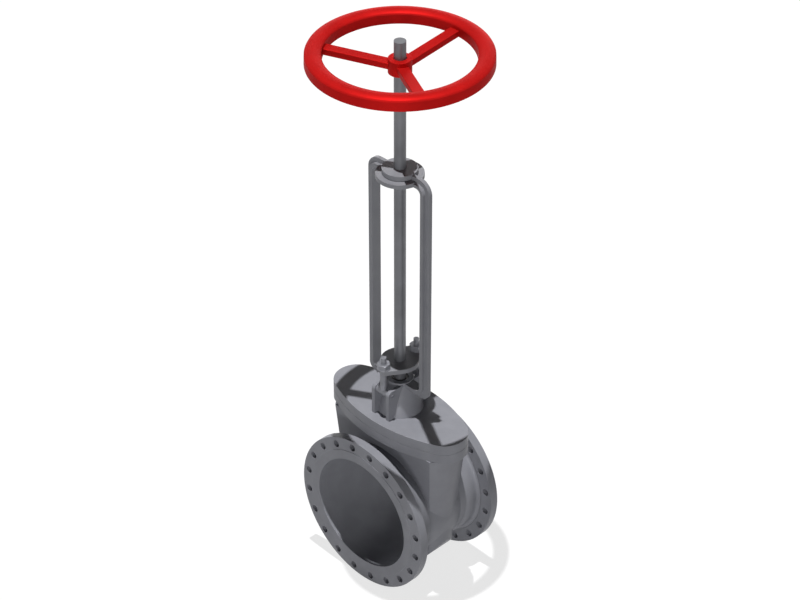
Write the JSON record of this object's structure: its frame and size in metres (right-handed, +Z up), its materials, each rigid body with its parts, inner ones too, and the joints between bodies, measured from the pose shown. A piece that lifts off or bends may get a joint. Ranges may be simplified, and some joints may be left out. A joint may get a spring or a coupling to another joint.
{
  "type": "flanged gate valve",
  "caption": "Rising-stem flanged gate valve body with an oval bonnet, a bolted gland, a tall two-column yoke and a three-spoke handwheel on the stem.",
  "frame": {"origin": "centre of the waterway on the inlet flange's raised face", "axes": "+Y along the pipe from the inlet face to the outlet face, +Z up along the stem, +X to the right seen from the inlet"},
  "size_m": [0.7214, 0.7214, 2.4912],
  "materials": {
    "body_casting": "grey machinery enamel over sand-cast steel",
    "bonnet_casting": "grey machinery enamel over sand-cast steel",
    "stuffing_box": "grey machinery enamel over sand-cast steel",
    "gland": "grey machinery enamel, worn at the nuts",
    "bolting": "turned and oiled steel",
    "yoke": "grey machinery enamel over rolled steel",
    "stem_steel": "ground steel with an oil film",
    "stem_nut": "turned bronze",
    "soft_seal": "graphite sheet and braid",
    "handwheel_red": "red gloss enamel over cast iron"
  },
  "bodies": {
    "valve": {"inlet_flange": "body_casting", "outlet_flange": "body_casting", "body": "body_casting", "top_flange": "body_casting", "bonnet_gasket": "soft_seal", "bonnet": "bonnet_casting", "stuffing_box": "stuffing_box", "packing": "soft_seal", "front_left_lug": "stuffing_box", "front_right_lug": "stuffing_box", "rear_left_lug": "stuffing_box", "rear_right_lug": "stuffing_box", "front_eyebolt_pin": "bolting", "rear_eyebolt_pin": "bolting", "front_eyebolt": "bolting", "rear_eyebolt": "bolting", "gland_flange": "gland", "front_washer": "bolting", "rear_washer": "bolting", "front_gland_nut": "bolting", "rear_gland_nut": "bolting", "left_yoke_column": "yoke", "right_yoke_column": "yoke", "yoke_ring": "yoke", "yoke_cap": "yoke", "stem_nut": "stem_nut"},
    "stem": {"stem": "stem_steel"},
    "handwheel": {"handwheel_hub": "handwheel_red", "handwheel_rim": "handwheel_red", "handwheel_spoke_1": "handwheel_red", "handwheel_spoke_2": "handwheel_red", "handwheel_spoke_3": "handwheel_red"}
  },
  "joints": [
    {"name": "stem_lift", "type": "slide", "parent": "valve", "child": "stem", "axis": [0, 0, 1], "range_m": [-0.41, 0]},
    {"name": "handwheel_turn", "type": "hinge", "parent": "stem", "child": "handwheel", "pos_m": [0, 0.2285, 2.04], "axis": [0, 0, 1], "continuous": true}
  ]
}
